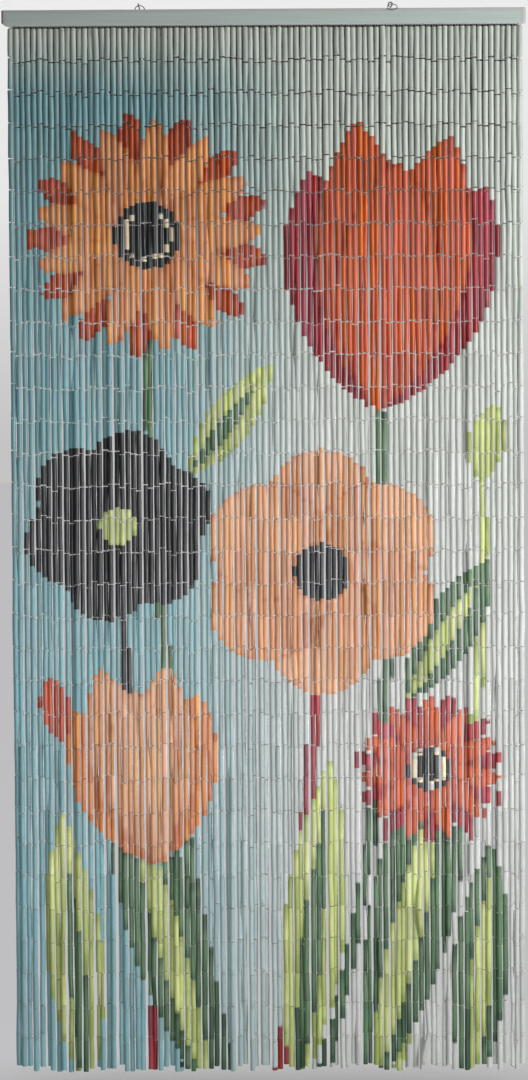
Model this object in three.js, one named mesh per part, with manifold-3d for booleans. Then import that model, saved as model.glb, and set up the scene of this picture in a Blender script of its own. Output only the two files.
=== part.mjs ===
// A door curtain of painted cane tubes. Ninety strands hang in one row under a flat wooden batten,
// and two rings, slack in the screw eyes on the batten's top, are there to hang it by.
// Millimetres: +X runs along the batten to the viewer's right, -Y faces the viewer, +Z is up, and
// the origin is the middle of the batten's top face.

import * as THREE from "three";
import { mergeVertices } from "three/addons/utils/BufferGeometryUtils.js";
import Module from "manifold-3d";

// Header batten
const battenLength = 1000;
const battenHeight = 30;
const battenDepth = 14;
const battenEndRadius = 5; // its four upright corners
const battenEase = 1.5; // its top and bottom edges
const wornCorner = { width: 9, height: 6 }; // knocked off the lower left end

// Screw eyes and rings
const pieceGap = 0.3;
const eyeWire = 2.4;
const eyeRadius = 4.1; // to the middle of the wire
const eyeHeight = 7.6; // middle of the eye above the batten
const eyeBend = 60; // degrees that the wire bends between shank and eye
const eyeEnd = 228; // degrees round the eye at which the wire ends
const eyeSides = 8;
const eyeSteps = 36;
const shankDepth = 12;
const ringWire = 1.8;
const ringRadius = 9.1; // to the middle of the wire
const ringSides = 8;
const ringSteps = 32;

// A row for each hanger: its place along the batten, the eye's turn about its shank and its lean
// to the side, and the ring's middle and tilt where it rests in the eye and on the batten's edge.
const hangers = [
  { side: "left", x: -236, turn: 90, lean: -14, ringY: 7.03, ringX: -0.05, ringZ: 0.96, tilt: -52 },
  { side: "right", x: 242, turn: -25, lean: 0, ringY: -5.86, ringX: 3.95, ringZ: 1.96, tilt: 44.2 },
];

// Strands
const strandCount = 90;
const firstStrandX = -483.5;
const lastStrandX = 488.5;
const strandWidth = 6.6; // a square of the same area as a 7.4 mm tube
const strandLength = 2000;
const endSpread = 7; // how much longer or shorter a strand may be
const tubePitch = 62.5; // from joint to joint along a strand
const strip = { height: 3, depth: 8, overhang: 5 }; // the row of staples that holds the strands
const rootDepth = 1.7; // how far a strand reaches up into the strip

// How the strands hang, a row for each height: the drop below the strip, how far each strand
// wanders from its own line, how far neighbours close up in pairs, and how far they swing in depth.
const hangRows = [
  { drop: 0, wander: 0.5, pairing: 0.0, swing: 0.0 },
  { drop: 250, wander: 0.6, pairing: 0.2, swing: 0.25 },
  { drop: 500, wander: 0.65, pairing: 0.4, swing: 0.5 },
  { drop: 750, wander: 0.7, pairing: 0.6, swing: 0.75 },
  { drop: 1000, wander: 0.7, pairing: 0.75, swing: 1.0 },
  { drop: 1250, wander: 0.75, pairing: 0.95, swing: 1.25 },
  { drop: 1500, wander: 0.75, pairing: 1.1, swing: 1.5 },
  { drop: 1750, wander: 0.8, pairing: 1.3, swing: 1.75 },
  { drop: 2000, wander: 0.8, pairing: 1.5, swing: 2.0 },
];

// The slow waves that those rows scale: each wave's part of the whole and its turns down a strand
const wanderWaves = [{ part: 0.6, turns: 0.8 }, { part: 0.4, turns: 2.1 }];
const swingWaves = [{ part: 0.7, turns: 0.6 }, { part: 0.3, turns: 1.7 }];
const pairWave = { perStrand: 0.37, perLength: 2.2 };

// Fixed scatter: how fast it changes from strand to strand and kind to kind, and the kinds
const scatterSteps = { strand: 12.9898, kind: 78.233, whole: 43758.5453 };
const scatterKinds = { wander: 1, swing: 3, end: 5 };

// Strands that are caught out of line at one of their joints, counted from the top
const strays = [
  { strand: 71, joint: 27, side: -4, front: -14 },
  { strand: 72, joint: 31, side: 4, front: -12 },
  { strand: 72, joint: 32, side: -13, front: -12 },
  { strand: 15, joint: 31, side: 2, front: -3 },
  { strand: 9, joint: 30, side: 1.5, front: -3 },
];

const inRadians = THREE.MathUtils.degToRad;
const wasm = await Module();
wasm.setup();

function toSolid(geometry) {
  const bare = geometry.clone();
  bare.deleteAttribute("normal");
  bare.deleteAttribute("uv");
  const merged = mergeVertices(bare, 1e-4);
  const vertProperties = new Float32Array(merged.attributes.position.array);
  const triVerts = new Uint32Array(merged.index.array);
  return new wasm.Manifold(new wasm.Mesh({ numProp: 3, vertProperties, triVerts }));
}

function toGeometry(solid) {
  const { vertProperties, triVerts } = solid.getMesh();
  const geometry = new THREE.BufferGeometry();
  geometry.setAttribute("position", new THREE.BufferAttribute(vertProperties, 3));
  geometry.setIndex(new THREE.BufferAttribute(triVerts, 1));
  geometry.computeVertexNormals();
  return geometry;
}

function namedMesh(name, geometry, material) {
  const mesh = new THREE.Mesh(geometry, material);
  mesh.name = name;
  return mesh;
}

// A rounded slat, drawn as its plan and raised by its height, with both long edges eased.
function battenGeometry() {
  const halfLength = battenLength / 2;
  const halfDepth = battenDepth / 2;
  const straightX = halfLength - battenEndRadius;
  const straightY = halfDepth - battenEndRadius;
  const plan = new THREE.Shape();
  plan.absarc(straightX, straightY, battenEndRadius, 0, Math.PI / 2);
  plan.absarc(-straightX, straightY, battenEndRadius, Math.PI / 2, Math.PI);
  plan.absarc(-straightX, -straightY, battenEndRadius, Math.PI, 1.5 * Math.PI);
  plan.absarc(straightX, -straightY, battenEndRadius, 1.5 * Math.PI, 2 * Math.PI);
  return new THREE.ExtrudeGeometry(plan, {
    depth: battenHeight - 2 * battenEase,
    bevelThickness: battenEase,
    bevelSize: battenEase,
    bevelOffset: -battenEase,
    bevelSegments: 2,
    curveSegments: 4,
  }).translate(0, 0, battenEase - battenHeight);
}

function wornCornerGeometry() {
  const beyond = 2;
  const corner = new THREE.Shape([
    new THREE.Vector2(-beyond, -beyond),
    new THREE.Vector2(wornCorner.width * (1 + beyond / wornCorner.height), -beyond),
    new THREE.Vector2(-beyond, wornCorner.height * (1 + beyond / wornCorner.width)),
  ]);
  const depth = battenDepth + 2 * beyond;
  return new THREE.ExtrudeGeometry(corner, { depth, bevelEnabled: false })
    .rotateX(Math.PI / 2)
    .translate(-battenLength / 2, depth / 2, -battenHeight);
}

// The hole that a screw eye is driven into, a little wider than its shank.
function pilotHoleGeometry(hanger) {
  const sides = 12;
  const radius = (eyeWire / 2 + pieceGap) / Math.cos(Math.PI / sides);
  const below = shankDepth + pieceGap;
  const above = eyeWire;
  return new THREE.CylinderGeometry(radius, radius, below + above, sides)
    .rotateX(Math.PI / 2)
    .translate(0, 0, (above - below) / 2)
    .rotateY(inRadians(hanger.lean))
    .translate(hanger.x, 0, 0);
}

function headerBatten() {
  const cuts = [wornCornerGeometry(), ...hangers.map(pilotHoleGeometry)];
  const whole = toSolid(battenGeometry());
  const solid = cuts.reduce((left, cut) => left.subtract(toSolid(cut)), whole);
  const paint = new THREE.MeshStandardMaterial({ color: "#96a39b", roughness: 0.55, metalness: 0 });
  return namedMesh("header_batten", toGeometry(solid), paint);
}

// One wire: up the shank, over a bend to the side, and round into an open eye.
function screwEye(hanger, steel) {
  const bend = inRadians(eyeBend);
  const bendStart = eyeHeight - 2 * eyeRadius * Math.sin(bend);
  const route = new THREE.Path();
  route.moveTo(0, -shankDepth);
  route.lineTo(0, bendStart);
  route.absarc(eyeRadius, bendStart, eyeRadius, Math.PI, Math.PI - bend, true);
  route.absarc(0, eyeHeight, eyeRadius, -bend, inRadians(eyeEnd), false);
  const points = route.getSpacedPoints(eyeSteps).map(({ x, y }) => new THREE.Vector3(x, 0, y));
  const wire = new THREE.Shape().absarc(0, 0, eyeWire / 2, 0, 2 * Math.PI);
  const geometry = new THREE.ExtrudeGeometry(wire, {
    steps: eyeSteps,
    curveSegments: eyeSides / 2,
    extrudePath: new THREE.CatmullRomCurve3(points),
  });
  const mesh = namedMesh(`screw_eye_${hanger.side}`, geometry, steel);
  mesh.rotation.z = inRadians(hanger.turn);
  return mesh;
}

function hangRing(hanger, steel) {
  const geometry = new THREE.TorusGeometry(ringRadius, ringWire / 2, ringSides, ringSteps);
  const mesh = namedMesh(`hang_ring_${hanger.side}`, geometry, steel);
  mesh.position.set(hanger.ringX, hanger.ringY, hanger.ringZ);
  mesh.rotation.x = inRadians(hanger.tilt);
  return mesh;
}

function hangerGroup(hanger) {
  const steel = new THREE.MeshStandardMaterial({ color: "#7d7f7c", roughness: 0.35, metalness: 1 });
  const leaning = new THREE.Group();
  leaning.rotation.y = inRadians(hanger.lean);
  leaning.add(screwEye(hanger, steel));
  const group = new THREE.Group();
  group.position.x = hanger.x;
  group.add(leaning, hangRing(hanger, steel));
  return group;
}

// A fixed value from -1 to 1 for each strand, another for each kind.
function scatter(strand, kind) {
  const turn = strand * scatterSteps.strand + kind * scatterSteps.kind;
  const spread = Math.sin(turn) * scatterSteps.whole;
  return 2 * (spread - Math.floor(spread)) - 1;
}

function hangAt(drop, column) {
  const next = hangRows.findIndex((row, index) => index > 0 && drop <= row.drop);
  const below = hangRows[next < 0 ? hangRows.length - 1 : next];
  const above = hangRows[hangRows.indexOf(below) - 1];
  const share = Math.max(0, (drop - above.drop) / (below.drop - above.drop));
  return above[column] + share * (below[column] - above[column]);
}

// The sum of a strand's waves at a share of its length, from -1 to 1.
function waving(waves, strand, share, firstKind) {
  return waves.reduce((sum, { part, turns }, index) => {
    const phase = scatter(strand, firstKind + index);
    return sum + part * Math.sin(Math.PI * (2 * turns * share + phase));
  }, 0);
}

// Where a strand's middle is at a drop below the strip.
function strandPoint(strand, drop) {
  const share = drop / strandLength;
  const wander = waving(wanderWaves, strand, share, scatterKinds.wander);
  const swing = waving(swingWaves, strand, share, scatterKinds.swing);
  const pairTurn = Math.sin(pairWave.perStrand * strand + pairWave.perLength * share);
  const pairSide = strand % 2 ? -pairTurn : pairTurn;
  const line = THREE.MathUtils.lerp(firstStrandX, lastStrandX, strand / (strandCount - 1));
  const point = new THREE.Vector3(line, 0, -battenHeight - pieceGap - strip.height - drop);
  point.x += wander * hangAt(drop, "wander") + pairSide * hangAt(drop, "pairing");
  point.y += swing * hangAt(drop, "swing");
  for (const stray of strays.filter((row) => row.strand === strand)) {
    const near = Math.max(0, 1 - Math.abs(drop / tubePitch - stray.joint));
    point.x += stray.side * near;
    point.y += stray.front * near;
  }
  return point;
}

// The drops at which a strand's solid has a ring of corners, from its root to its end.
function strandDrops(strand) {
  const end = strandLength + endSpread * scatter(strand, scatterKinds.end);
  const bends = strays.filter((row) => row.strand === strand)
    .flatMap(({ joint }) => [joint - 1, joint, joint + 1])
    .map((joint) => joint * tubePitch);
  const drops = [...hangRows.slice(1).map((row) => row.drop), ...bends]
    .filter((drop) => drop < end - 1)
    .sort((upper, lower) => upper - lower);
  return [-rootDepth, ...new Set(drops), end];
}

// A four-sided strand: a ring of four corners at each drop, joined by sides and closed by ends.
function strandGeometry(strand) {
  const half = strandWidth / 2;
  const corners = [[-half, -half], [half, -half], [half, half], [-half, half]];
  const drops = strandDrops(strand);
  const places = drops.flatMap((drop) => {
    const middle = strandPoint(strand, drop);
    return corners.flatMap(([x, y]) => [middle.x + x, middle.y + y, middle.z]);
  });
  const faces = [0, 1, 2, 0, 2, 3];
  for (let ring = 0; ring < drops.length - 1; ring += 1) {
    for (let side = 0; side < 4; side += 1) {
      const upper = 4 * ring + side;
      const upperNext = 4 * ring + (side + 1) % 4;
      faces.push(upper, upper + 4, upperNext, upperNext, upper + 4, upperNext + 4);
    }
  }
  const last = 4 * (drops.length - 1);
  faces.push(last, last + 2, last + 1, last, last + 3, last + 2);
  const geometry = new THREE.BufferGeometry();
  geometry.setAttribute("position", new THREE.Float32BufferAttribute(places, 3));
  geometry.setIndex(faces);
  return geometry;
}

function beadStrands() {
  const length = lastStrandX - firstStrandX + 2 * strip.overhang;
  const rail = new THREE.BoxGeometry(length, strip.depth, strip.height)
    .translate((firstStrandX + lastStrandX) / 2, 0, -battenHeight - pieceGap - strip.height / 2);
  let solid = toSolid(rail);
  for (let strand = 0; strand < strandCount; strand += 1) {
    solid = solid.add(toSolid(strandGeometry(strand)));
  }
  const paint = new THREE.MeshStandardMaterial({ color: "#a3b5ac", roughness: 0.6, metalness: 0 });
  return namedMesh("bead_strands", toGeometry(solid), paint);
}

const group = new THREE.Group();
group.add(headerBatten(), ...hangers.map(hangerGroup), beadStrands());
export default group;
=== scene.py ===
import math

import bpy
import numpy as np
from mathutils import Matrix, Quaternion, Vector


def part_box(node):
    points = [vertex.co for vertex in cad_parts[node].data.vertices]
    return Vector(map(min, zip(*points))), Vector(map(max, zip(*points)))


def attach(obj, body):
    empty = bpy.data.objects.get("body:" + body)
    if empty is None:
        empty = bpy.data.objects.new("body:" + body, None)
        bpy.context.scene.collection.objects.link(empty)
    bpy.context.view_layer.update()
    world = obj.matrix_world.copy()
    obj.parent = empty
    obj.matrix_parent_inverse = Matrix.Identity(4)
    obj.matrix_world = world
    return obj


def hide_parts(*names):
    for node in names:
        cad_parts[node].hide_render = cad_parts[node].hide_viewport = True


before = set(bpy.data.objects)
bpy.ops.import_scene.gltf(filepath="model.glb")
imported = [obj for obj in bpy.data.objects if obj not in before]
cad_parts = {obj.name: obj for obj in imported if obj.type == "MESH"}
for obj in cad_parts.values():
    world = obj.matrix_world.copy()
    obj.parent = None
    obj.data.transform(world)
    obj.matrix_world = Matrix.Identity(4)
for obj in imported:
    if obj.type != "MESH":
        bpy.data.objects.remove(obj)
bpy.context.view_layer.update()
mm = 0.001  # the dictionaries are in millimetres, the meshes in metres
draws = np.random.default_rng(41)
print("frame loaded:", ", ".join(sorted(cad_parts)))

# Camera and light, as the photograph has them

cameraSetup = {
    "place": (-5, -6000, -830),
    "pitch": -1.75,  # degrees, down
    "yaw": 0,  # to the left
    "roll": -0.35,
    "lens": 104.34,
}
keyLight = {"place": (1680, -1300, -850), "aim": (0, 0, -850), "width": 700, "height": 2200, "power": 58}
lowLight = {"place": (-150, -1800, -1600), "aim": (0, 0, -1600), "width": 500, "height": 1000, "power": 17}
backLight = {"place": (1100, 1700, -1300), "aim": (0, 0, -1300), "width": 1200, "height": 1400, "power": 28}
overheadLight = {"strength": 2.0, "softness": 20}  # straight down, on the floor
surroundings = {
    "fill": 0.045,  # what the studio's walls give back
    "highest": 0.16,
    # height of a direction, and how bright the backdrop is there
    "backdrop": [(0.0, 0.55), (0.02, 0.60), (0.08, 0.80), (0.16, 0.85)],
    # the same where the backdrop lies in the curtain's own shade
    "shaded": [
        (0.0, 0.54), (0.045, 0.45), (0.078, 0.14), (0.10, 0.040), (0.1333, 0.030),
        (0.1365, 0.85), (0.16, 0.85),
    ],
    "shadedMiddle": 0.0012,
    "shadedHalf": 0.0790,
    "shadedEdge": 0.0015,
}
floorSetup = {"height": -2075, "reach": 100000, "colour": (0.80, 0.79, 0.81)}


def inMetres(place):
    return Vector(place) * mm


def addNode(tree, kind, inputs=None, **settings):
    made = tree.nodes.new("ShaderNode" + kind)
    for name, value in settings.items():
        setattr(made, name, value)
    for name, value in (inputs or {}).items():
        if isinstance(value, bpy.types.NodeSocket):
            tree.links.new(value, made.inputs[name])
        else:
            made.inputs[name].default_value = value
    return made


def mathNode(tree, operation, first, second=0.0):
    return addNode(tree, "Math", {0: first, 1: second}, operation=operation).outputs[0]


def rangeNode(tree, value, low, high, toLow=0.0, toHigh=1.0):
    inputs = {"Value": value, "From Min": low, "From Max": high, "To Min": toLow, "To Max": toHigh}
    return addNode(tree, "MapRange", inputs).outputs[0]


def mixNode(tree, share, first, second, blend="MIX"):
    first = (*first, 1) if isinstance(first, tuple) else first
    second = (*second, 1) if isinstance(second, tuple) else second
    return addNode(tree, "Mix", {0: share, 6: first, 7: second}, data_type="RGBA", blend_type=blend).outputs[2]


def addCamera(setup):
    cameraData = bpy.data.cameras.new("camera")
    cameraData.lens = setup["lens"]
    cameraData.clip_end = 200
    camera = bpy.data.objects.new("camera", cameraData)
    bpy.context.scene.collection.objects.link(camera)
    camera.rotation_mode = "QUATERNION"
    camera.location = inMetres(setup["place"])
    pitch = math.radians(setup["pitch"])
    yaw = math.radians(setup["yaw"])
    look = Vector((-math.sin(yaw) * math.cos(pitch), math.cos(yaw) * math.cos(pitch), math.sin(pitch)))
    roll = Quaternion((0, 0, 1), math.radians(setup["roll"]))
    camera.rotation_quaternion = look.to_track_quat("-Z", "Y") @ roll
    bpy.context.scene.camera = camera


def addSoftLight(name, setup):
    lightData = bpy.data.lights.new(name, "AREA")
    lightData.shape = "RECTANGLE"
    lightData.size = setup["width"] * mm
    lightData.size_y = setup["height"] * mm
    lightData.energy = setup["power"]
    light = bpy.data.objects.new(name, lightData)
    bpy.context.scene.collection.objects.link(light)
    light.location = inMetres(setup["place"])
    towards = inMetres(setup["aim"]) - light.location
    light.rotation_mode = "QUATERNION"
    light.rotation_quaternion = towards.to_track_quat("-Z", "Y")
    light.visible_camera = False
    return light


def leaveOut(light, thing):  # so that the light leaves no pool on it
    chosen = bpy.data.collections.new(light.name + "Leaves")
    chosen.objects.link(thing)
    light.light_linking.receiver_collection = chosen
    chosen.collection_objects[0].light_linking.link_state = "EXCLUDE"


def addOverheadLight(setup):
    lightData = bpy.data.lights.new("overheadLight", "SUN")
    lightData.energy = setup["strength"]
    lightData.angle = math.radians(setup["softness"])
    bpy.context.scene.collection.objects.link(bpy.data.objects.new("overheadLight", lightData))


def heightRamp(tree, share, levels, highest):
    ramp = addNode(tree, "ValToRGB", {0: share})
    while len(ramp.color_ramp.elements) < len(levels):
        ramp.color_ramp.elements.new(0.5)
    for element, (place, level) in zip(ramp.color_ramp.elements, levels):
        element.position = place / highest
        element.color = (level, level, level, 1)
    return ramp.outputs[0]


def addSurroundings(setup):
    world = bpy.data.worlds.new("studio")
    bpy.context.scene.world = world
    world.use_nodes = True
    tree = world.node_tree
    tree.nodes.clear()
    direction = addNode(tree, "TexCoord").outputs["Generated"]
    across, ahead, height = addNode(tree, "SeparateXYZ", {0: direction}).outputs
    share = rangeNode(tree, height, 0.0, setup["highest"])
    backdrop = heightRamp(tree, share, setup["backdrop"], setup["highest"])
    shaded = heightRamp(tree, share, setup["shaded"], setup["highest"])
    offMiddle = mathNode(tree, "ABSOLUTE", mathNode(tree, "SUBTRACT", across, setup["shadedMiddle"]))
    behind = rangeNode(tree, offMiddle, setup["shadedHalf"] + setup["shadedEdge"], setup["shadedHalf"])
    behind = mathNode(tree, "MULTIPLY", behind, mathNode(tree, "GREATER_THAN", ahead, 0.0))
    backdrop = addNode(tree, "Background", {"Color": mixNode(tree, behind, backdrop, shaded)}).outputs[0]
    fill = addNode(tree, "Background", {"Color": (1, 1, 1, 1), "Strength": setup["fill"]}).outputs[0]
    seen = addNode(tree, "LightPath").outputs["Is Camera Ray"]
    both = addNode(tree, "MixShader", {0: seen, 1: fill, 2: backdrop}).outputs[0]
    addNode(tree, "OutputWorld", {"Surface": both})


def addFloor(setup):
    reach = setup["reach"] * mm
    height = setup["height"] * mm
    mesh = bpy.data.meshes.new("floor")
    corners = [(-reach, -reach, height), (reach, -reach, height), (reach, reach, height), (-reach, reach, height)]
    mesh.from_pydata(corners, [], [(0, 1, 2, 3)])
    floor = bpy.data.objects.new("floor", mesh)
    bpy.context.scene.collection.objects.link(floor)
    paint = bpy.data.materials.new("paleFloor")
    paint.use_nodes = True
    tree = paint.node_tree
    shader = tree.nodes["Principled BSDF"]
    place = addNode(tree, "TexCoord").outputs["Object"]
    cloud = addNode(tree, "TexNoise", {"Vector": place, "Scale": 0.8}).outputs[0]
    level = addNode(tree, "MapRange", {"Value": cloud, "To Min": 0.97, "To Max": 1.0}).outputs[0]
    tint = addNode(tree, "Mix", {0: 1.0, 6: (*setup["colour"], 1), 7: level}, data_type="RGBA", blend_type="MULTIPLY")
    tree.links.new(tint.outputs[2], shader.inputs["Base Color"])
    shader.inputs["Roughness"].default_value = 0.9
    mesh.materials.append(paint)
    floor.visible_diffuse = False
    return floor


bpy.context.scene.view_settings.view_transform = "Standard"
addCamera(cameraSetup)
addOverheadLight(overheadLight)
addSurroundings(surroundings)
floor = addFloor(floorSetup)
leaveOut(addSoftLight("keyLight", keyLight), floor)
leaveOut(addSoftLight("lowLight", lowLight), floor)
leaveOut(addSoftLight("backLight", backLight), floor)
print("camera, lights and floor placed")

# How the strands hang: the solids' sizes, with strands closing up in pairs a little less

strandHang = {
    "strands": 90,
    "firstX": -483.5,
    "lastX": 488.5,
    "staplesFoot": -33.3,  # height at which the drops start
    "length": 2000,
    "endSpread": 7,
    "tubesInStrand": 32,
    "jointPitch": 62.5,
    # columns of one table: how far down, wander to the side, closing up in pairs, swing in depth
    "drop": [0, 250, 500, 750, 1000, 1250, 1500, 1750, 2000],
    "wander": [0.5, 0.6, 0.65, 0.7, 0.7, 0.75, 0.75, 0.8, 0.8],
    "pairing": [0.0, 0.1, 0.2, 0.3, 0.4, 0.5, 0.6, 0.75, 0.9],
    "swing": [0.0, 0.25, 0.5, 0.75, 1.0, 1.25, 1.5, 1.75, 2.0],
    # part of the whole and turns down a strand
    "wanderWaves": [(0.6, 0.8), (0.4, 2.1)],
    "swingWaves": [(0.7, 0.6), (0.3, 1.7)],
    "pairPerStrand": 0.37,
    "pairPerLength": 2.2,
    "scatterPerStrand": 12.9898,
    "scatterPerKind": 78.233,
    "scatterWhole": 43758.5453,
    "kinds": {"wander": 1, "swing": 3, "end": 5},
    # strands caught out of line at one of their joints
    "strays": [
        {"strand": 71, "joint": 27, "side": -4, "front": -14},
        {"strand": 72, "joint": 31, "side": 4, "front": -12},
        {"strand": 72, "joint": 32, "side": -13, "front": -12},
        {"strand": 15, "joint": 31, "side": 2, "front": -3},
        {"strand": 9, "joint": 30, "side": 1.5, "front": -3},
    ],
}


def scatter(strand, kind):
    turn = strand * strandHang["scatterPerStrand"] + kind * strandHang["scatterPerKind"]
    spread = np.sin(turn) * strandHang["scatterWhole"]
    return 2 * (spread - np.floor(spread)) - 1


def waving(waves, strand, share, firstKind):
    total = 0
    for index, (part, turns) in enumerate(waves):
        total = total + part * np.sin(math.pi * (2 * turns * share + scatter(strand, firstKind + index)))
    return total


def strandMiddle(strand, drop):  # x and y of the strands' middles
    hang = strandHang
    share = drop / hang["length"]
    wander = waving(hang["wanderWaves"], strand, share, hang["kinds"]["wander"])
    swing = waving(hang["swingWaves"], strand, share, hang["kinds"]["swing"])
    pairTurn = np.sin(hang["pairPerStrand"] * strand + hang["pairPerLength"] * share)
    pairSide = np.where(strand % 2, -pairTurn, pairTurn)
    line = hang["firstX"] + (hang["lastX"] - hang["firstX"]) * strand / (hang["strands"] - 1)
    x = line + wander * np.interp(drop, hang["drop"], hang["wander"])
    x = x + pairSide * np.interp(drop, hang["drop"], hang["pairing"])
    y = swing * np.interp(drop, hang["drop"], hang["swing"])
    for stray in hang["strays"]:
        near = np.clip(1 - abs(drop / hang["jointPitch"] - stray["joint"]), 0, 1)
        near = near * (strand == stray["strand"])
        x = x + stray["side"] * near
        y = y + stray["front"] * near
    return x, y


# Cane tubes: thirty-two to a strand, with their joints a little out of row

caneTube = {
    "thickness": 9.9,
    "strandSpread": 0.06,  # how much thicker or thinner whole strands are
    "tubeSpread": 0.04,
    "drops": [0, 500, 2000],
    "thicknessAtDrop": [0.99, 1.0, 1.01],
    "driftAtDrop": [0.0, 0.4, 1.0],  # how far whole strands hang to one side
    "driftAcross": [2.8, 1.6, 0.7],  # the same for the left, middle and right strands
    "leastGap": [1.8, 1.0, 0.2],  # between tubes on one strand
    "mostGap": [3.6, 2.7, 1.2],
    "oval": 0.04,
    "bore": 0.48,  # of the thickness
    "leastBore": 3.7,
    "lip": 0.35,  # the eased edge of a cut end
    "sides": 10,
    "firstGap": (-0.4, 1.2),
    "endLoop": 3.0,
    "strandSlip": 5.2,  # how far a whole strand's joints sit off their rows
    "jointSlip": 3.8,
    "sideSlip": 0.25,  # how far joints sit off the strand's line, most of them
    "mostSideSlip": 1.8,
    "play": 0.15,  # how far a tube's end sits off its joint
    "bow": 0.35,
    "swell": 0.02,
    "clearance": 0.25,
    "frontAndBack": 0.3,  # every other strand starts this much nearer
    "settleSteps": 60,
    "settlePull": 0.02,  # back towards the strand's own line
}


def jointDrops():
    hang = strandHang
    strand = np.arange(hang["strands"])[:, None]
    row = np.arange(hang["tubesInStrand"] + 1)[None, :]
    end = hang["length"] + hang["endSpread"] * scatter(strand, hang["kinds"]["end"])
    strayStrands = [stray["strand"] for stray in hang["strays"]]
    loose = 1 - np.isin(strand, strayStrands)
    slip = draws.uniform(-1, 1, strand.shape) * caneTube["strandSlip"]
    slip = slip + draws.uniform(-1, 1, (len(strand), row.size)) * caneTube["jointSlip"]
    drops = end * row / hang["tubesInStrand"] + slip * loose
    drops[:, 0] = draws.uniform(*caneTube["firstGap"], len(strand))
    drops[:, -1] = end[:, 0] - caneTube["endLoop"]
    return drops


def settle(x, y, radius):
    # strands that lie too close slide past each other in depth
    tube = caneTube
    own = y.copy()
    for step in range(tube["settleSteps"]):
        for apart in (1, 2):
            across = x[apart:] - x[:-apart]
            deep = y[apart:] - y[:-apart]
            need = radius[apart:] + radius[:-apart] + tube["clearance"] + 2 * tube["play"]
            reach = np.sqrt(np.maximum(need ** 2 - across ** 2, 0))
            push = np.maximum(reach - abs(deep), 0) / 2 * np.where(deep < 0, -1, 1)
            y[apart:] += push
            y[:-apart] -= push
        y += (own - y) * tube["settlePull"]
    return y


def jointPlaces(strandRadius):
    tube = caneTube
    drops = jointDrops()
    strand = np.arange(strandHang["strands"])[:, None] + 0 * drops
    x, y = strandMiddle(strand, drops)
    slip = draws.standard_t(4, (2, *drops.shape)) * tube["sideSlip"]
    slip = np.clip(slip, -tube["mostSideSlip"], tube["mostSideSlip"])
    drift = np.clip(draws.standard_normal((strandHang["strands"], 1)), -1.8, 1.8)
    drift = drift * np.interp(strand, np.linspace(0, strandHang["strands"] - 1, 3), tube["driftAcross"])
    x = x + slip[0] + drift * np.interp(drops, tube["drops"], tube["driftAtDrop"])
    y = y + slip[1] + tube["frontAndBack"] * np.where(strand % 2, -1, 1)
    y = settle(x, y, strandRadius * (1 + tube["tubeSpread"] / 2))
    return np.stack([x, y, strandHang["staplesFoot"] - drops], -1)


def tubeEnds(joints):
    drop = strandHang["staplesFoot"] - joints[..., 2]
    least = np.interp(drop, caneTube["drops"], caneTube["leastGap"])
    most = np.interp(drop, caneTube["drops"], caneTube["mostGap"])
    gap = least + (most - least) * draws.uniform(0, 1, drop.shape)
    play = draws.uniform(-1, 1, (2, *joints[:, 1:].shape)) * caneTube["play"]
    upper = joints[:, :-1] + play[0]
    lower = joints[:, 1:] + play[1]
    upper[..., 2] = joints[:, :-1, 2] - gap[:, :-1] / 2
    lower[..., 2] = joints[:, 1:, 2] + gap[:, 1:] / 2
    return upper, lower


def tubeRadii(wide, joints, upper, lower):
    tube = caneTube
    count = strandHang["strands"]
    radius = wide * (1 + tube["tubeSpread"] * draws.uniform(-1, 1, upper.shape[:2]))
    drop = strandHang["staplesFoot"] - (upper[..., 2] + lower[..., 2]) / 2
    radius = radius * np.interp(drop, tube["drops"], tube["thicknessAtDrop"])
    most = wide * (1 + tube["tubeSpread"]) * max(tube["thicknessAtDrop"])
    for share in (0, 0.25, 0.5, 0.75, 1):  # neighbours never touch
        place = upper + (lower - upper) * share
        for strand in range(count):
            for other in {strand - 2, strand - 1, strand + 1, strand + 2} & set(range(count)):
                across = np.interp(-place[strand, :, 2], -joints[other, :, 2], joints[other, :, 0])
                deep = np.interp(-place[strand, :, 2], -joints[other, :, 2], joints[other, :, 1])
                apart = np.hypot(place[strand, :, 0] - across, place[strand, :, 1] - deep)
                mine = wide[strand] / (wide[strand] + wide[other])
                room = (apart - tube["clearance"] - 2 * tube["play"]) * mine
                radius[strand] = np.minimum(radius[strand], np.minimum(room, most[strand]))
    return radius


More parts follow.
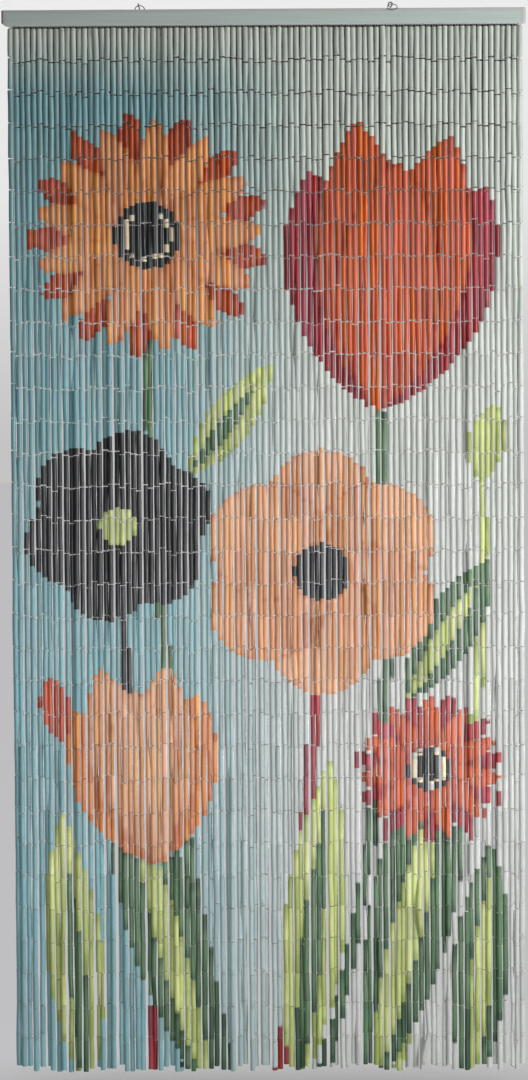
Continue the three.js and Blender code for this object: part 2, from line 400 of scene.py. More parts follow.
def tubeSkins(upper, lower, radius):
    # Nine rings of corners for each tube: in at the top of the bore, over the lip, down the skin and back in
    tube = caneTube
    length = np.linalg.norm(lower - upper, axis=-1)
    bore = np.maximum(radius * tube["bore"], tube["leastBore"] / 2)
    lip = tube["lip"] + 0 * length
    swell = 1 + tube["swell"] * draws.uniform(-1, 1, (3, *length.shape))
    down = np.stack([0 * lip, 0 * lip, lip, 0.22 * length, 0.5 * length, 0.78 * length,
                     length - lip, length, length], -1)
    out = np.stack([bore, radius - lip, radius, radius * swell[0], radius * swell[1], radius * swell[2],
                    radius, radius - lip, bore], -1)
    axis = (upper - lower) / length[..., None]
    right = np.stack([axis[..., 2], 0 * length, -axis[..., 0]], -1)
    right = right / np.linalg.norm(right, axis=-1)[..., None]
    back = np.cross(axis, right)
    angle = 2 * math.pi * np.arange(tube["sides"]) / tube["sides"]
    ovalTurn = draws.uniform(0, math.pi, length.shape)
    oval = 1 + tube["oval"] * np.cos(2 * (angle - ovalTurn[..., None]))
    bend = np.sin(math.pi * down / length[..., None])
    bendTurn = draws.uniform(0, 2 * math.pi, length.shape)
    bendSide = right * np.cos(bendTurn)[..., None] + back * np.sin(bendTurn)[..., None]
    middle = upper[..., None, :] - axis[..., None, :] * down[..., None]
    middle = middle + bendSide[..., None, :] * (tube["bow"] * bend)[..., None]
    spoke = (right[..., None, :] * np.cos(angle)[:, None] + back[..., None, :] * np.sin(angle)[:, None])
    spoke = spoke * oval[..., None]
    return middle[..., None, :] + spoke[..., None, :, :] * out[..., None, None], down


strandSizes = 1 + caneTube["strandSpread"] * draws.uniform(-1, 1, (strandHang["strands"], 1))
strandRadii = caneTube["thickness"] / 2 * strandSizes
joints = jointPlaces(strandRadii)
upperEnds, lowerEnds = tubeEnds(joints)
radii = tubeRadii(strandRadii, joints, upperEnds, lowerEnds)
skins, ringDrops = tubeSkins(upperEnds, lowerEnds, radii)
thickness = [round(2 * value, 1) for value in (radii.min(), radii.mean(), radii.max())]
print("cane tubes:", radii.size, "thickness least, mean and most in mm:", *thickness)

# The painting: ordinary garden flowers, worked out as how far inside each painted form a point lies

painting = {
    "order": ["charcoal", "crimson", "redOrange", "orange", "peach", "darkGreen", "lime", "cream"],
    "outside": -50,
    "slip": 3,  # how far the strands have moved since they were painted
    "stems": [
        {"top": (-225, -430), "foot": (-75, -2060), "bow": -45, "width": 22, "paint": "darkGreen"},
        {"top": (215, -760), "foot": (95, -2060), "bow": 62, "width": 22, "paint": "darkGreen"},
        {"top": (-285, -985), "foot": (-150, -2060), "bow": -30, "width": 18, "paint": "charcoal"},
        {"top": (105, -1075), "foot": (15, -2060), "bow": 12, "width": 22, "paint": "crimson"},
        {"top": (-215, -1630), "foot": (-232, -2060), "bow": 4, "width": 18, "paint": "crimson"},
        {"top": (310, -1455), "foot": (190, -2060), "bow": 20, "width": 18, "paint": "charcoal"},
        {"top": (410, -880), "foot": (235, -2060), "bow": 60, "width": 18, "paint": "lime"},
    ],
    "blades": [
        {"root": (262, -1330), "height": 330, "width": 105, "lean": 31, "paint": "darkGreen"},
        {"root": (-150, -890), "height": 270, "width": 86, "lean": 37, "paint": "lime"},
        {"root": (190, -2090), "height": 760, "width": 165, "lean": 13, "paint": "darkGreen"},
        {"root": (-110, -2090), "height": 700, "width": 150, "lean": -15, "paint": "darkGreen"},
        {"root": (50, -2090), "height": 660, "width": 120, "lean": 6, "paint": "lime"},
        {"root": (-350, -2090), "height": 560, "width": 110, "lean": -5, "paint": "lime"},
        {"root": (385, -2090), "height": 500, "width": 110, "lean": 5, "paint": "darkGreen"},
    ],
    "buds": [
        {"root": (410, -900), "height": 150, "width": 74, "lean": 10, "paint": "lime"},
        {"root": (-395, -1400), "height": 130, "width": 62, "lean": -12, "paint": "redOrange"},
    ],
    "tulips": [
        {"root": (215, -770), "height": 560, "lean": 5, "paint": "redOrange", "backPaint": "crimson"},
        {"root": (-215, -1640), "height": 400, "lean": -7, "paint": "peach", "backPaint": "orange"},
    ],
    "tulipWidth": 0.36,
    # the petals of a tulip, back ones first
    "tulipPetals": [
        {"lean": -21, "size": 0.86, "tone": -0.2, "paint": "backPaint"},
        {"lean": 21, "size": 0.86, "tone": -0.1, "paint": "backPaint"},
        {"lean": -9, "size": 1.0, "tone": 0.0, "paint": "paint"},
        {"lean": 10, "size": 0.98, "tone": 0.1, "paint": "paint"},
        {"lean": 0, "size": 0.86, "tone": 0.25, "paint": "paint"},
    ],
    "daisies": [
        {"middle": (-225, -430), "reach": 235, "petals": 13, "turn": 5, "paint": "orange", "backPaint": "redOrange",
         "heart": 66},
        {"middle": (310, -1455), "reach": 150, "petals": 11, "turn": 0, "paint": "redOrange", "backPaint": "crimson",
         "heart": 44},
    ],
    "daisyWidth": 0.27,
    "daisyRows": [
        {"step": 0.5, "size": 1.0, "tone": -0.2, "paint": "backPaint"},
        {"step": 0, "size": 0.93, "tone": 0.15, "paint": "paint"},
    ],
    "daisyRing": {"share": 0.68, "width": 9},
    "poppies": [
        {"middle": (-285, -985), "reach": 185, "petals": 6, "turn": 12, "paint": "charcoal",
         "heart": 36, "heartPaint": "lime"},
        {"middle": (105, -1075), "reach": 235, "petals": 6, "turn": 0, "paint": "peach",
         "heart": 56, "heartPaint": "charcoal"},
    ],
    "poppyWidth": 0.92,
    "petalStep": 0.15,  # every other petal is this much lighter
    "shade": {"root": 0.3, "alongPetal": 0.5, "towardsSide": -0.25},
    "overlap": 1.5,  # of one paint over another
    "downTube": {"slant": 6, "near": 3, "aside": 3.8},  # an edge that runs down a tube moves to its side
    "bladeHeart": {"size": 0.84, "width": 0.36, "lime": "darkGreen", "darkGreen": "lime"},
}


# Each form gives how far inside it a point lies, and where that is along and across the form
def petalPlace(u, v, root, length, width, lean):
    turn = math.radians(lean)
    along = (u - root[0]) * math.sin(turn) + (v - root[1]) * math.cos(turn)
    across = (u - root[0]) * math.cos(turn) - (v - root[1]) * math.sin(turn)
    return along / length, across / width


def pointedForm(u, v, root, length, width, lean):
    along, across = petalPlace(u, v, root, length, width, lean)
    bend = (length ** 2 + width ** 2) / (4 * width)  # radius of its two sides
    far = np.hypot((along - 0.5) * length, abs(across) * width + bend - width / 2)
    return bend - far, along, across


def roundForm(u, v, root, length, width, lean):
    along, across = petalPlace(u, v, root, length, width, lean)
    return (1 - np.hypot(2 * along - 1, 2 * across)) * width / 2, along, across


def discForm(u, v, middle, radius):
    far = np.hypot(u - middle[0], v - middle[1])
    return radius - far, far / radius, 0 * far


def ringForm(u, v, middle, radius, width):
    far = np.hypot(u - middle[0], v - middle[1])
    return width / 2 - abs(far - radius), far / radius, 0 * far


def stemForm(u, v, stem):
    share = np.clip((v - stem["top"][1]) / (stem["foot"][1] - stem["top"][1]), 0, 1)
    line = stem["top"][0] + (stem["foot"][0] - stem["top"][0]) * share + stem["bow"] * 4 * share * (1 - share)
    reach = np.minimum(stem["width"] / 2 - abs(u - line), stem["top"][1] - v)
    return reach, 1 - share, (u - line) / stem["width"]


def tulipForms(u, v, tulip):
    for petal in painting["tulipPetals"]:
        length = tulip["height"] * petal["size"]
        width = tulip["height"] * painting["tulipWidth"]
        lean = tulip["lean"] + petal["lean"]
        yield tulip[petal["paint"]], pointedForm(u, v, tulip["root"], length, width, lean), petal["tone"]


def daisyForms(u, v, daisy):
    for row in painting["daisyRows"]:
        for petal in range(daisy["petals"]):
            lean = daisy["turn"] + (petal + row["step"]) * 360 / daisy["petals"]
            length = daisy["reach"] * row["size"]
            width = daisy["reach"] * painting["daisyWidth"]
            tone = row["tone"] + painting["petalStep"] * (petal % 2)
            yield daisy[row["paint"]], roundForm(u, v, daisy["middle"], length, width, lean), tone
    ring = painting["daisyRing"]
    yield "charcoal", discForm(u, v, daisy["middle"], daisy["heart"]), 0
    yield "cream", ringForm(u, v, daisy["middle"], daisy["heart"] * ring["share"], ring["width"]), 0


def poppyForms(u, v, poppy):
    for petal in range(poppy["petals"]):
        lean = poppy["turn"] + petal * 360 / poppy["petals"]
        width = poppy["reach"] * painting["poppyWidth"]
        tone = painting["petalStep"] * (petal % 2)
        yield poppy["paint"], roundForm(u, v, poppy["middle"], poppy["reach"], width, lean), tone
    yield poppy["heartPaint"], discForm(u, v, poppy["middle"], poppy["heart"]), 0


def paintedForms(u, v):  # from the back of the design to its front
    for stem in painting["stems"]:
        yield stem["paint"], stemForm(u, v, stem), 0
    for blade in painting["blades"]:
        form = pointedForm(u, v, blade["root"], blade["height"], blade["width"], blade["lean"])
        yield blade["paint"], form, 0
        heart = painting["bladeHeart"]
        size = (blade["height"] * heart["size"], blade["width"] * heart["width"])
        yield heart[blade["paint"]], pointedForm(u, v, blade["root"], *size, blade["lean"]), 0
    for tulip in painting["tulips"]:
        yield from tulipForms(u, v, tulip)
    for bud in painting["buds"]:
        yield bud["paint"], pointedForm(u, v, bud["root"], bud["height"], bud["width"], bud["lean"]), 0
    for daisy in painting["daisies"]:
        yield from daisyForms(u, v, daisy)
    for poppy in painting["poppies"]:
        yield from poppyForms(u, v, poppy)


def paintReaches(u, v):
    shading = painting["shade"]
    reach = {paint: np.full(u.shape, float(painting["outside"])) for paint in painting["order"]}
    shade = np.full(u.shape, 0.5)
    rim = np.full(u.shape, float(-painting["outside"]))
    for paint, (form, along, across), tone in paintedForms(u, v):
        for other in painting["order"]:
            if other != paint:
                reach[other] = np.minimum(reach[other], painting["overlap"] - form)
        reach[paint] = np.maximum(reach[paint], form)
        here = shading["root"] + shading["alongPetal"] * along + shading["towardsSide"] * abs(across) + tone
        shade = np.where(form > 0, np.clip(here, 0, 1), shade)
        rim = np.where(form > 0, form, np.minimum(rim, -form))
    return reach, shade, rim


def clearOfTube(reach):
    setup = painting["downTube"]
    middle = reach[..., 4:5]
    slant = abs(reach[..., 6:7] - reach[..., 2:3])  # from one end of the skin to the other
    near = (slant < setup["slant"]) & (abs(middle) < setup["near"])
    return reach + near * np.where(middle < 0, -1, 1) * setup["aside"]


def paintedPlaces():  # where each ring of a tube was when the curtain was painted flat
    hang = strandHang
    strand = np.arange(hang["strands"])
    line = hang["firstX"] + (hang["lastX"] - hang["firstX"]) * strand / (hang["strands"] - 1)
    slip = painting["slip"] * draws.uniform(-1, 1, hang["strands"])
    u = line[:, None, None] + 0 * ringDrops
    v = upperEnds[..., 2, None] - ringDrops + slip[:, None, None]
    return u, v


paintU, paintV = paintedPlaces()
reaches, shades, rims = paintReaches(paintU, paintV)
reaches = {paint: clearOfTube(reach) for paint, reach in reaches.items()}
print("painting laid out:", ", ".join(painting["order"]))

# Materials


def startMaterial(name):
    material = bpy.data.materials.new(name)
    material.use_nodes = True
    return material, material.node_tree, material.node_tree.nodes["Principled BSDF"]


def attributeNode(tree, name):
    return addNode(tree, "Attribute", attribute_name=name).outputs["Fac"]


def stretchedNoise(tree, place, scale, detail=3.0):
    stretched = addNode(tree, "Mapping", {"Vector": place, "Scale": scale}).outputs[0]
    return addNode(tree, "TexNoise", {"Vector": stretched, "Scale": 1.0, "Detail": detail}).outputs[0]


canePaint = {
    "sage": (0.58, 0.63, 0.57),
    "sageDeep": (0.49, 0.54, 0.48),
    "sageLow": (0.51, 0.525, 0.505),  # greyer towards the floor
    "sageFades": (-250, -1300),
    "teal": (0.24, 0.44, 0.47),
    "tealDeep": (0.12, 0.32, 0.36),
    "tealAcross": (110, -210),  # where the ground turns from sage to teal, across and down
    "tealDown": (-55, -165),
    "paints": {
        "charcoal": {"deep": (0.004, 0.005, 0.006), "light": (0.020, 0.022, 0.025)},
        "crimson": {"deep": (0.20, 0.012, 0.020), "light": (0.50, 0.055, 0.075)},
        "redOrange": {"deep": (0.32, 0.028, 0.008), "light": (0.61, 0.12, 0.038)},
        "orange": {"deep": (0.52, 0.15, 0.035), "light": (0.74, 0.34, 0.13)},
        "peach": {"deep": (0.46, 0.16, 0.055), "light": (0.69, 0.385, 0.21)},
        "darkGreen": {"deep": (0.025, 0.07, 0.035), "light": (0.13, 0.25, 0.12)},
        "lime": {"deep": (0.26, 0.33, 0.09), "light": (0.64, 0.70, 0.28)},
        "cream": {"deep": (0.68, 0.55, 0.35), "light": (0.85, 0.78, 0.62)},
    },
    "edgeBleed": 0.6,  # millimetres that a painted edge wanders
    "rim": (6.0, 1.0),  # petals darken over this far from their edges
    "rimDarkens": 0.5,
    "bareCane": (0.66, 0.58, 0.44),
    "bareCaneDeep": (0.42, 0.33, 0.21),
    "strokes": (70.0, 70.0, 9.0),  # to the metre
    "grain": (900.0, 900.0, 35.0),
    "speckle": (420.0, 420.0, 260.0),
}


def groundColour(tree, place):
    across = attributeNode(tree, "paintAcross")
    down = attributeNode(tree, "paintDown")
    cloud = stretchedNoise(tree, place, (9.0, 9.0, 5.0), 2.0)
    teal = rangeNode(tree, across, *canePaint["tealAcross"])
    teal = mathNode(tree, "MULTIPLY", teal, rangeNode(tree, down, *canePaint["tealDown"]))
    teal = mathNode(tree, "MULTIPLY", teal, rangeNode(tree, cloud, 0.25, 0.6, 0.75, 1.0))
    sage = mixNode(tree, cloud, canePaint["sageDeep"], canePaint["sage"])
    sage = mixNode(tree, rangeNode(tree, down, *canePaint["sageFades"]), sage, canePaint["sageLow"])
    blue = mixNode(tree, cloud, canePaint["tealDeep"], canePaint["teal"])
    return mixNode(tree, teal, sage, blue)


def makeCanePaint():
    material, tree, shader = startMaterial("canePaint")
    place = addNode(tree, "TexCoord").outputs["Object"]
    tone = attributeNode(tree, "tubeTone")
    warmth = attributeNode(tree, "tubeWarmth")
    nearEnd = attributeNode(tree, "nearEnd")
    strokes = stretchedNoise(tree, place, canePaint["strokes"])
    grain = stretchedNoise(tree, place, canePaint["grain"])
    speckle = stretchedNoise(tree, place, canePaint["speckle"], 2.0)
    bleed = rangeNode(tree, speckle, 0.3, 0.7, -canePaint["edgeBleed"] / 2, canePaint["edgeBleed"] / 2)
    shade = mathNode(tree, "ADD", attributeNode(tree, "petalShade"), rangeNode(tree, strokes, 0.3, 0.7, -0.25, 0.25))
    shade = mathNode(tree, "ADD", shade, rangeNode(tree, tone, 0.0, 1.0, -0.15, 0.15))
    rim = rangeNode(tree, attributeNode(tree, "petalRim"), *canePaint["rim"], 0.0, canePaint["rimDarkens"])
    shade = mathNode(tree, "SUBTRACT", shade, rim)
    colour = groundColour(tree, place)
    for paint in painting["order"]:
        tones = canePaint["paints"][paint]
        inside = mathNode(tree, "ADD", attributeNode(tree, paint), bleed)
        inside = rangeNode(tree, inside, -0.3, 0.3)
        colour = mixNode(tree, inside, colour, mixNode(tree, rangeNode(tree, shade, 0.0, 1.0), tones["deep"], tones["light"]))
    inputs = {
        "Hue": rangeNode(tree, warmth, 0.0, 1.0, 0.490, 0.510),
        "Saturation": rangeNode(tree, warmth, 0.0, 1.0, 0.9, 1.1),
        "Value": rangeNode(tree, tone, 0.0, 1.0, 0.87, 1.09),
        "Color": colour,
    }
    colour = addNode(tree, "HueSaturation", inputs).outputs[0]
    colour = mixNode(tree, rangeNode(tree, grain, 0.3, 0.7, 0.0, 0.16), colour, (0.0, 0.0, 0.0))
    mark = mathNode(tree, "COMPARE", nearEnd, 0.70)  # the faint ring that a cane has near its end
    tree.nodes[-1].inputs[2].default_value = 0.045
    mark = mathNode(tree, "MULTIPLY", mark, rangeNode(tree, warmth, 0.55, 0.75, 0.0, 0.35))
    colour = mixNode(tree, mark, colour, (0.10, 0.09, 0.07))
    chips = mathNode(tree, "ADD", speckle, mathNode(tree, "MULTIPLY", nearEnd, 0.15))
    chips = rangeNode(tree, chips, 0.83, 0.88)
    wood = mathNode(tree, "MAXIMUM", attributeNode(tree, "cutWood"), chips)
    bare = mixNode(tree, grain, canePaint["bareCane"], canePaint["bareCaneDeep"])
    colour = mixNode(tree, wood, colour, bare)
    tree.links.new(colour, shader.inputs["Base Color"])
    rough = rangeNode(tree, strokes, 0.3, 0.7, 0.28, 0.42)
    rough = mathNode(tree, "ADD", rough, mathNode(tree, "MULTIPLY", wood, 0.25))
    tree.links.new(rough, shader.inputs["Roughness"])
    height = mathNode(tree, "ADD", grain, mathNode(tree, "MULTIPLY", speckle, 0.5))
    bump = addNode(tree, "Bump", {"Strength": 0.5, "Distance": 0.25 * mm, "Height": height})
    tree.links.new(bump.outputs[0], shader.inputs["Normal"])
    shader.inputs["Diffuse Roughness"].default_value = 0.6  # a dry, chalky paint under the gloss
    shader.inputs["Specular IOR Level"].default_value = 0.5
    return material


linkSteel = {"name": "linkSteel", "bright": (0.60, 0.60, 0.58), "dull": (0.30, 0.30, 0.29), "cloud": 160.0}
hangerSteel = {"name": "hangerSteel", "bright": (0.24, 0.24, 0.23), "dull": (0.07, 0.07, 0.07), "cloud": 420.0}


def makeSteel(finish):
    material, tree, shader = startMaterial(finish["name"])
    place = addNode(tree, "TexCoord").outputs["Object"]
    cloud = stretchedNoise(tree, place, (finish["cloud"],) * 3)
    fine = stretchedNoise(tree, place, (1500.0, 1500.0, 1500.0), 2.0)
    share = rangeNode(tree, cloud, 0.35, 0.65)
    tree.links.new(mixNode(tree, share, finish["dull"], finish["bright"]), shader.inputs["Base Color"])
    tree.links.new(rangeNode(tree, cloud, 0.35, 0.65, 0.50, 0.30), shader.inputs["Roughness"])
    shader.inputs["Metallic"].default_value = 1.0
    bump = addNode(tree, "Bump", {"Strength": 0.3, "Distance": 0.05 * mm, "Height": fine})
    tree.links.new(bump.outputs[0], shader.inputs["Normal"])
    return material


battenPaint = {
    "sage": (0.445, 0.52, 0.495),
    "sageDeep": (0.405, 0.475, 0.45),
    "shadeGrey": (0.42, 0.41, 0.39),  # painted shade: greyer where the rounded top edge and the rounded ends turn from the light, and in a faint line near the bottom
    "topShade": (-7.5, -3.5),
    "bottomLine": (-28.2, -28.8),
    "endShade": (488.0, 492.0),
    "bareWood": (0.50, 0.38, 0.24),
    "streaks": (4.0, 190.0, 190.0),
    "grain": (12.0, 700.0, 700.0),
}


def makeBattenPaint():
    material, tree, shader = startMaterial("battenPaint")
    place = addNode(tree, "TexCoord").outputs["Object"]
    x, y, z = addNode(tree, "SeparateXYZ", {0: place}).outputs
    streaks = stretchedNoise(tree, place, battenPaint["streaks"])
    grain = stretchedNoise(tree, place, battenPaint["grain"])
    cloud = stretchedNoise(tree, place, (30.0, 60.0, 60.0))
    wobble = rangeNode(tree, cloud, 0.3, 0.7, -1.2 * mm, 1.2 * mm)
    height = mathNode(tree, "ADD", z, wobble)
    colour = mixNode(tree, rangeNode(tree, streaks, 0.3, 0.7), battenPaint["sageDeep"], battenPaint["sage"])
    # painted shade along the rounded top edge and at the rounded ends, with a faint greyer line near the bottom
    top = rangeNode(tree, height, *(edge * mm for edge in battenPaint["topShade"]), 0.0, 0.75)
    bottom = rangeNode(tree, height, *(edge * mm for edge in battenPaint["bottomLine"]), 0.0, 0.5)
    ends = rangeNode(tree, mathNode(tree, "ABSOLUTE", x), *(edge * mm for edge in battenPaint["endShade"]), 0.0, 0.6)
    shadeGrey = mathNode(tree, "MAXIMUM", mathNode(tree, "MAXIMUM", top, bottom), ends)
    colour = mixNode(tree, shadeGrey, colour, battenPaint["shadeGrey"])
    colour = mixNode(tree, rangeNode(tree, grain, 0.3, 0.75, 0.0, 0.10), colour, (0.0, 0.0, 0.0))
    nearEdge = rangeNode(tree, mathNode(tree, "ABSOLUTE", mathNode(tree, "ADD", z, 15 * mm)), 12 * mm, 15 * mm)
    chips = mathNode(tree, "ADD", cloud, mathNode(tree, "MULTIPLY", nearEdge, 0.14))
    chips = rangeNode(tree, chips, 0.86, 0.90)
    colour = mixNode(tree, chips, colour, battenPaint["bareWood"])
    tree.links.new(colour, shader.inputs["Base Color"])
    rough = rangeNode(tree, streaks, 0.3, 0.7, 0.45, 0.62)
    tree.links.new(mathNode(tree, "ADD", rough, mathNode(tree, "MULTIPLY", chips, 0.25)), shader.inputs["Roughness"])
    relief = mathNode(tree, "SUBTRACT", mathNode(tree, "ADD", grain, streaks), mathNode(tree, "MULTIPLY", chips, 0.6))
    bump = addNode(tree, "Bump", {"Strength": 0.4, "Distance": 0.3 * mm, "Height": relief})
    tree.links.new(bump.outputs[0], shader.inputs["Normal"])
    return material


canePaintMaterial = makeCanePaint()
linkSteelMaterial = makeSteel(linkSteel)
hangerSteelMaterial = makeSteel(hangerSteel)
battenMaterial = makeBattenPaint()
print("materials made")

# Meshes

bakeMap = {"name": "OFBake", "margin": 0.04}  # each small form has a cell of its own on it
smoothUnder = math.radians(42)


def makePiece(name, places, faces, material, replaced):
    mesh = bpy.data.meshes.new(name)
    mesh.from_pydata((places.reshape(-1, 3) * mm).tolist(), [], faces.reshape(-1, 4).tolist())
    mesh.polygons.foreach_set("use_smooth", np.ones(len(mesh.polygons), bool))
    mesh.set_sharp_from_angle(angle=smoothUnder)
    mesh.materials.append(material)
    piece = bpy.data.objects.new(name, mesh)
    bpy.context.scene.collection.objects.link(piece)
    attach(piece, "root")
    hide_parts(replaced)
    return piece


def gridFaces(rings, sides, closed):
    # four corners for each face between one ring of corners and the next
    ring, side = np.meshgrid(np.arange(rings if closed else rings - 1), np.arange(sides), indexing="ij")
    below = (ring + 1) % rings
    after = (side + 1) % sides
    corners = [ring * sides + side, below * sides + side, below * sides + after, ring * sides + after]
    return np.stack(corners, -1).reshape(-1, 4)


def repeatedFaces(faces, copies, corners):
    return faces[None] + (np.arange(copies) * corners)[:, None, None]


def layBakeMap(piece, copies, columns, acrossMarks, alongMarks):
    # a face lies between two marks across its form and two along it, in the form's own cell
    rows = math.ceil(copies / columns)
    margin = bakeMap["margin"]
    along, across = np.meshgrid(np.arange(len(alongMarks) - 1), np.arange(len(acrossMarks) - 1), indexing="ij")
    u = np.stack([acrossMarks[across], acrossMarks[across], acrossMarks[across + 1], acrossMarks[across + 1]], -1)
    v = np.stack([alongMarks[along], alongMarks[along + 1], alongMarks[along + 1], alongMarks[along]], -1)
    copy = np.arange(copies)[:, None, None, None]
    u = (copy % columns + margin + (1 - 2 * margin) * u) / columns
    v = (copy // columns + margin + (1 - 2 * margin) * v) / rows
    layer = piece.data.uv_layers.new(name=bakeMap["name"])
    layer.data.foreach_set("uv", np.stack([u, v], -1).astype(np.float32).ravel())


def setAttribute(piece, name, values):
    attribute = piece.data.attributes.new(name, "FLOAT", "POINT")
    attribute.data.foreach_set("value", np.ascontiguousarray(values, dtype=np.float32).ravel())


caneTubePieces = {
    "strands": 6,  # in one piece
    "mapColumns": 24,
    "mapStretches": [0, 2, 1, 13, 17, 17, 13, 1, 2, 4],  # room on the map for each stretch of a tube's skin
    "nearEnd": [1, 1, 1, 0, 0, 0, 1, 1, 1],
    "cutWood": [1, 0.2, 0, 0, 0, 0, 0, 0.2, 1],
}


def makeCaneTubes():
    setup = caneTubePieces
    strands, tubes, rings, sides = skins.shape[:4]
    faces = gridFaces(rings, sides, closed=True)
    marks = np.cumsum(setup["mapStretches"]) / sum(setup["mapStretches"])
    tone = draws.uniform(0, 1, (strands, tubes))
    warmth = (draws.uniform(0, 1, (strands, 1)) + draws.uniform(0, 1, (strands, tubes))) / 2
    for number, start in enumerate(range(0, strands, setup["strands"]), 1):
        part = slice(start, start + setup["strands"])
        copies = skins[part].shape[0] * tubes
        piece = makePiece(f"caneTubes{number:02d}", skins[part], repeatedFaces(faces, copies, rings * sides),
                          canePaintMaterial, "bead_strands")
        layBakeMap(piece, copies, setup["mapColumns"], np.linspace(0, 1, sides + 1), marks)

        def spread(values):  # from the tubes or their rings to every corner
            while values.ndim < 4:
                values = values[..., None]
            return np.broadcast_to(values, skins[part].shape[:4])

        for paint in painting["order"]:
            setAttribute(piece, paint, spread(reaches[paint][part]))
        setAttribute(piece, "petalShade", spread(shades[part]))
        setAttribute(piece, "petalRim", spread(rims[part]))
        setAttribute(piece, "paintAcross", spread(paintU[part]))
        setAttribute(piece, "paintDown", spread(paintV[part]))
        setAttribute(piece, "tubeTone", spread(tone[part]))
        setAttribute(piece, "tubeWarmth", spread(warmth[part]))
        setAttribute(piece, "nearEnd", spread(np.array(setup["nearEnd"]) + 0 * ringDrops[part]))
        setAttribute(piece, "cutWood", spread(np.array(setup["cutWood"]) + 0 * ringDrops[part]))


makeCaneTubes()
print("cane tubes made")

# Wire links between the tubes, and the staples that the strands hang from

wireLink = {
    "wire": 0.8,
    "loop": 1.2,  # radius to the middle of the wire
    "steps": 8,
    "sides": 4,
    "turn": 25,  # degrees that a joint may be turned
    "strands": 30,  # in one piece
    "mapColumns": 48,
}
staple = {
    "wire": 1.1,
    "width": 4.6,
    "bend": 1.1,
    "intoBatten": 2.0,
    "sides": 6,
    "bendSteps": 4,
}


def sweptWire(points, wire, sides, closed):
    # a round wire along a line that lies flat in the XZ plane
    points = np.asarray(points, float)
    before = np.roll(points, 1, axis=0)
    after = np.roll(points, -1, axis=0)
    if not closed:
        before[0] = points[0]
        after[-1] = points[-1]
    along = after - before
    along = along / np.linalg.norm(along, axis=1)[:, None]
    normal = np.stack([-along[:, 1], along[:, 0]], 1)
    angle = 2 * math.pi * np.arange(sides) / sides
    flat = points[:, None] + normal[:, None] * (np.cos(angle) * wire / 2)[None, :, None]
    deep = np.broadcast_to(-np.sin(angle) * wire / 2, flat.shape[:2])
    return np.stack([flat[..., 0], deep, flat[..., 1]], -1)


def turnedAboutZ(places, turn):
    cos, sin = np.cos(turn)[:, None, None], np.sin(turn)[:, None, None]
    x, y, z = places[..., 0], places[..., 1], places[..., 2]
    return np.stack([x * cos - y * sin, x * sin + y * cos, z + 0 * cos], -1)


def makeWireLinks():
    link = wireLink
    angle = 2 * math.pi * np.arange(link["steps"]) / link["steps"]
    circle = np.stack([np.cos(angle), np.sin(angle)], 1) * link["loop"]
    loop = sweptWire(circle, link["wire"], link["sides"], closed=True)
    rise = link["loop"] - link["wire"] / 2  # two loops hook into each other with their wires touching
    faces = gridFaces(link["steps"], link["sides"], closed=True)
    jointTurn = math.radians(link["turn"]) * draws.uniform(-1, 1, joints.shape[:2])
    upper = (joints[:, 1:] + (0, 0, rise), jointTurn[:, 1:])
    lower = (joints[:, :-1] - (0, 0, rise), jointTurn[:, :-1] + math.pi / 2)
    for number, start in enumerate(range(0, strandHang["strands"], link["strands"]), 1):
        part = slice(start, start + link["strands"])
        middles = np.concatenate([upper[0][part].reshape(-1, 3), lower[0][part].reshape(-1, 3)])
        turns = np.concatenate([upper[1][part].ravel(), lower[1][part].ravel()])
        places = turnedAboutZ(loop[None], turns) + middles[:, None, None]
        allFaces = repeatedFaces(faces, len(middles), loop.shape[0] * loop.shape[1])
        piece = makePiece(f"wireLinks{number}", places, allFaces, linkSteelMaterial, "bead_strands")
        marks = (np.linspace(0, 1, link["sides"] + 1), np.linspace(0, 1, link["steps"] + 1))
        layBakeMap(piece, len(middles), link["mapColumns"], *marks)


def roundCorner(middle, radius, start, end, steps):
    angle = np.radians(np.linspace(start, end, steps + 1))
    return [(middle[0] + radius * math.cos(a), middle[1] + radius * math.sin(a)) for a in angle]


def makeStaples():
    foot = -wireLink["wire"] / 2 - (staple["wire"] - wireLink["wire"]) / 2
    bend = staple["bend"]
    half = staple["width"] / 2
    top = joints[:, 0, 2].mean() * 0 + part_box("header_batten")[0].z / mm + staple["intoBatten"]
    copies = []
    for place in joints[:, 0]:
        height = top - place[2]
        line = [(-half, height)]
        line += roundCorner((-half + bend, foot + bend), bend, 180, 270, staple["bendSteps"])
        line += roundCorner((half - bend, foot + bend), bend, 270, 360, staple["bendSteps"])
        line += [(half, height)]
        copies.append(sweptWire(line, staple["wire"], staple["sides"], closed=False) + place)
    places = np.stack(copies)
    faces = gridFaces(places.shape[1], places.shape[2], closed=False)
    allFaces = repeatedFaces(faces, len(copies), places.shape[1] * places.shape[2])
    piece = makePiece("battenStaples", places, allFaces, linkSteelMaterial, "bead_strands")
    marks = (np.linspace(0, 1, places.shape[2] + 1), np.linspace(0, 1, places.shape[1]))
    layBakeMap(piece, len(copies), 10, *marks)


makeWireLinks()
makeStaples()
print("wire links and staples made")

# Screw eyes and hanging rings, on the solids' own lines with finer wire

hangers = {
    "eyeWire": 2.4,
    "eyeRadius": 4.1,
    "eyeHeight": 7.6,
    "eyeBend": 60,
    "eyeEnd": 228,
    "shank": 12,
    "eyeSides": 16,
    "ringWire": 1.8,
    "ringRadius": 9.1,
    "ringSides": 14,
    "ringSteps": 72,
    "places": [
        {"side": "left", "x": -236, "turn": 90, "lean": -14, "ring": (-0.05, 7.03, 0.96), "tilt": -52},
        {"side": "right", "x": 242, "turn": -25, "lean": 0, "ring": (3.95, -5.86, 1.96), "tilt": 44.2},
    ],
}


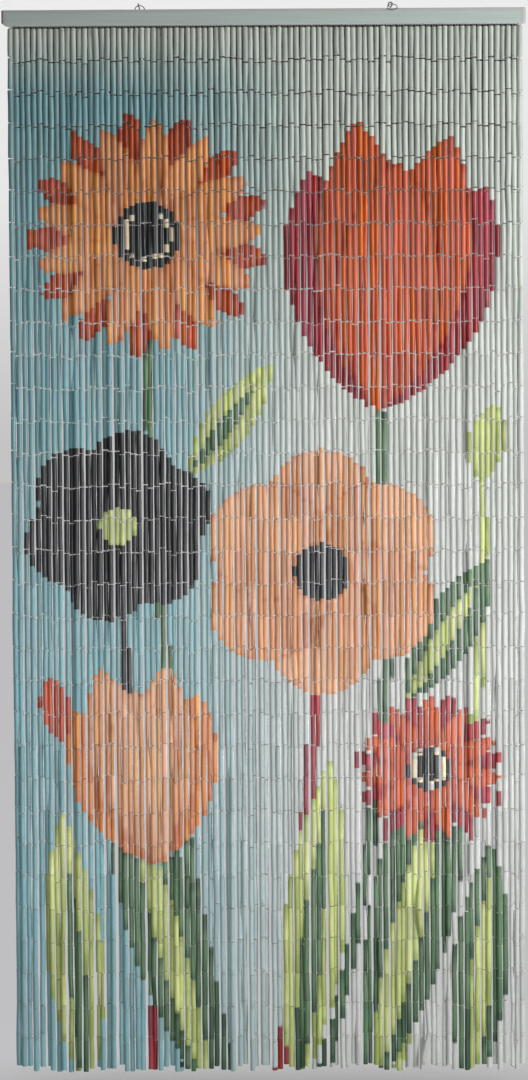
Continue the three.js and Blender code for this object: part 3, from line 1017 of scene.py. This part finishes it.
def closeEnds(places, tips):
    # rounds off both ends of an open wire with two smaller rings and a point-like last one
    middle = places.mean(axis=1, keepdims=True)
    outward = [middle[0] - middle[1], middle[-1] - middle[-2]]
    radius = np.linalg.norm(places[0, 0] - middle[0, 0])
    caps = []
    for end, direction in zip((0, -1), outward):
        direction = direction / np.linalg.norm(direction)
        caps.append([middle[end] + (places[end] - middle[end]) * math.cos(a) + direction * radius * math.sin(a)
                     for a in tips])
    return np.concatenate([np.stack(caps[0][::-1]), places, np.stack(caps[1])])


def eyeLine():
    eye = hangers
    bend = math.radians(eye["eyeBend"])
    start = eye["eyeHeight"] - 2 * eye["eyeRadius"] * math.sin(bend)
    line = [(0, -eye["shank"] + (start + eye["shank"]) * step / 6) for step in range(6)]
    line += roundCorner((eye["eyeRadius"], start), eye["eyeRadius"], 180, 180 - eye["eyeBend"], 12)
    line += roundCorner((0, eye["eyeHeight"]), eye["eyeRadius"], -eye["eyeBend"], eye["eyeEnd"], 60)[1:]
    return line


def makeHangers():
    eye = hangers
    tips = [math.radians(angle) for angle in (30, 60, 82)]
    eyeShape = closeEnds(sweptWire(eyeLine(), eye["eyeWire"], eye["eyeSides"], closed=False), tips)
    ringAngle = 2 * math.pi * np.arange(eye["ringSteps"]) / eye["ringSteps"]
    circle = np.stack([np.cos(ringAngle), np.sin(ringAngle)], 1) * eye["ringRadius"]
    ringShape = sweptWire(circle, eye["ringWire"], eye["ringSides"], closed=True)
    lying = np.array(Matrix.Rotation(math.radians(-90), 3, "X"))
    for hanger in eye["places"]:
        place = np.array([hanger["x"], 0, 0])
        lean = Matrix.Rotation(math.radians(hanger["lean"]), 3, "Y")
        turn = np.array(lean @ Matrix.Rotation(math.radians(hanger["turn"]), 3, "Z"))
        tilt = np.array(Matrix.Rotation(math.radians(hanger["tilt"]), 3, "X")) @ lying
        name = hanger["side"].capitalize()
        makePiece("screwEye" + name, eyeShape @ turn.T + place, gridFaces(*eyeShape.shape[:2], closed=False),
                  hangerSteelMaterial, "screw_eye_" + hanger["side"])
        ring = ringShape @ tilt.T + place + np.array(hanger["ring"])
        makePiece("hangRing" + name, ring, gridFaces(*ringShape.shape[:2], closed=True),
                  hangerSteelMaterial, "hang_ring_" + hanger["side"])


makeHangers()
print("screw eyes and rings made")

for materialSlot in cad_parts["header_batten"].material_slots:
    materialSlot.material = battenMaterial
print("header batten painted")
